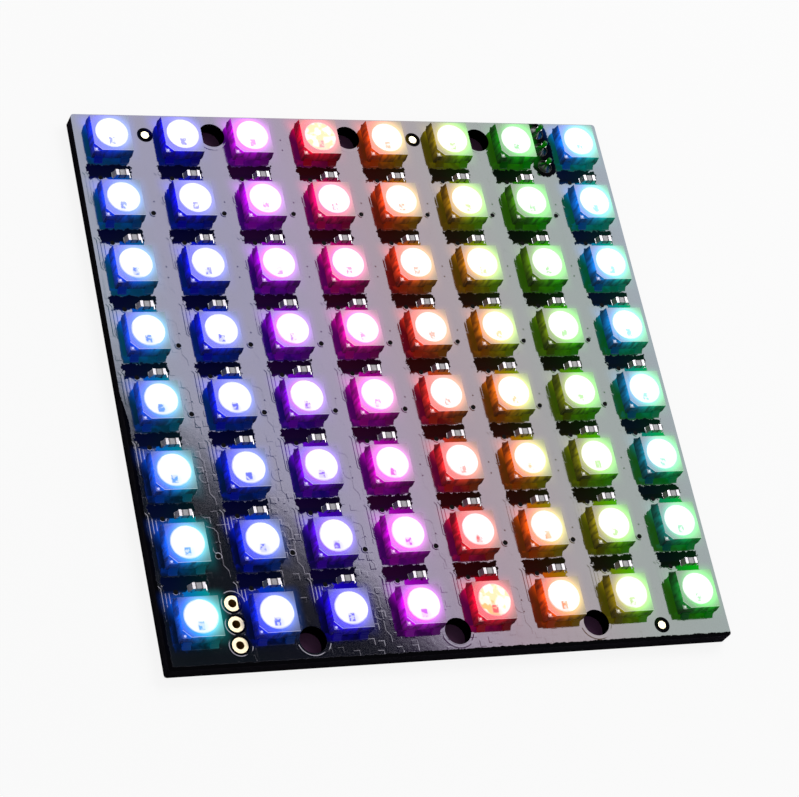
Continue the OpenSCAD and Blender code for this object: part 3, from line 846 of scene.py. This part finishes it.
def makeKeepouts(facts):
    # Edges of the copper pour, set back around the fixing holes and signal holes
    shape = bmesh.new()
    for x in (-fixingX, 0, fixingX):
        for y in (-fixingY, fixingY):
            addRidge(shape, arc(x, y, facts["around"], facts["from"], facts["to"], 30), facts["width"], facts["height"],
                     facts["slope"])
    radius, step = facts["holes"], holeStep / mm
    pinch = math.degrees(math.acos(step / 2 / radius))
    for hole in (openHole,):
        x, y = hole.x / mm, hole.y / mm
        line = arc(x, y - step, radius, 90 + pinch, 450 - pinch, 30) + arc(x, y, radius, -90 + pinch, 90 - pinch, 12)
        line += arc(x, y + step, radius, -90 + pinch, 270 - pinch, 30) + arc(x, y, radius, 90 + pinch, 270 - pinch, 12)
        clean = [p for i, p in enumerate(line) if (Vector(p) - Vector(line[i - 1])).length > 0.02]
        addLoop(shape, clean, facts)
    return addPiece("pour_outlines", shape, solderMask)


makeTraces(traces)
makeVias(vias)
makePads(pads)
makeKeepouts(keepouts)
print("surface pieces made")


# ---- floor, lamps and world ----

floorLook = {"color": (0.96, 0.96, 0.96, 1), "under": (0.13, 0.055, 0.125, 1), "reach": 3.0, "paper": 0.88}


def makeFloor(look):
    mesh = bpy.data.meshes.new("floor")
    r = look["reach"]
    drop = -0.02 * mm
    mesh.from_pydata([(-r, -r, drop), (r, -r, drop), (r, r, drop), (-r, r, drop)], [], [(0, 1, 2, 3)])
    floor = bpy.data.objects.new("floor", mesh)
    scene.collection.objects.link(floor)
    material = bpy.data.materials.new("paper")
    material.use_nodes = True
    tree = material.node_tree
    tree.nodes.clear()
    wires = Wires(tree)
    place = wires.put("ShaderNodeTexCoord").outputs["Object"]
    x, y, z = wires.split(place)
    beside = wires.calc("MAXIMUM", wires.calc("ABSOLUTE", x), wires.calc("SUBTRACT", wires.calc("ABSOLUTE", y),
                                                                       boardHigh.y - boardHigh.x))
    clear = wires.ramp(beside, boardHigh.x - 0.2 * mm, boardHigh.x)
    beyond = wires.ramp(beside, boardHigh.x + 1 * mm, boardHigh.x + 45 * mm)     # reflections keep the contact shadow
    path = wires.put("ShaderNodeLightPath").outputs
    seen = wires.calc("MULTIPLY", wires.calc("MAXIMUM", path["Is Glossy Ray"], path["Is Transmission Ray"]), beyond)
    seen = wires.calc("MAXIMUM", path["Is Camera Ray"], seen)
    seen = wires.calc("MULTIPLY", wires.calc("MULTIPLY", seen, clear), look["paper"])
    # painted shade: the floor under the board, seen through its holes, is dark purple
    paper = wires.blend(clear, look["under"], look["color"])
    matte = wires.put("ShaderNodeBsdfDiffuse", Color=paper).outputs[0]
    shine = wires.put("ShaderNodeEmission", Color=(1, 1, 1, 1), Strength=1.0).outputs[0]
    mix = tree.nodes.new("ShaderNodeMixShader")
    wires.feed(mix.inputs[0], seen)
    wires.feed(mix.inputs[1], matte)
    wires.feed(mix.inputs[2], shine)
    out = tree.nodes.new("ShaderNodeOutputMaterial")
    wires.feed(out.inputs[0], mix.outputs[0])
    mesh.materials.append(material)


lamps = {
    "softbox": {"from": (0.2603, 0.2603, 0.4320), "aim": (-0.0277, -0.0277, 0.0320),
                "width": 0.44, "length": 0.23, "power": 1.62, "color": (1.0, 1.0, 1.0)},
}


def makeLamps(facts):
    for name, lamp in facts.items():
        data = bpy.data.lights.new(name, "AREA")
        data.shape, data.size, data.size_y = "RECTANGLE", lamp["width"], lamp["length"]
        data.energy, data.color = lamp["power"], lamp["color"]
        light = bpy.data.objects.new(name, data)
        scene.collection.objects.link(light)
        light.location = lamp["from"]
        light.rotation_mode = "QUATERNION"
        light.rotation_quaternion = (Vector(lamp["aim"]) - Vector(lamp["from"])).to_track_quat("-Z", "Y")


worldLook = {"ambient": 0.34, "horizon": 0.35, "overhead": 0.035}


def makeWorld(look):
    world = bpy.data.worlds.new("studio")
    scene.world = world
    world.use_nodes = True
    tree = world.node_tree
    tree.nodes.clear()
    wires = Wires(tree)
    path = wires.put("ShaderNodeLightPath").outputs
    up = wires.split(wires.put("ShaderNodeTexCoord").outputs["Generated"])[2]
    mirrored = wires.ramp(up, 0.05, 0.5, look["horizon"], look["overhead"])
    shiny = wires.calc("MAXIMUM", path["Is Glossy Ray"], path["Is Transmission Ray"])
    level = wires.calc("ADD", look["ambient"], wires.calc("MULTIPLY", shiny, wires.calc(
        "SUBTRACT", mirrored, look["ambient"])))
    level = wires.calc("ADD", level, wires.calc("MULTIPLY", path["Is Camera Ray"], wires.calc(
        "SUBTRACT", 1.0, level)))
    back = wires.put("ShaderNodeBackground", Color=(1, 1, 1, 1), Strength=level).outputs[0]
    out = tree.nodes.new("ShaderNodeOutputWorld")
    wires.feed(out.inputs[0], back)


makeFloor(floorLook)
makeLamps(lamps)
makeWorld(worldLook)
scene.view_settings.view_transform = "Standard"
print("floor, lamps and world made")
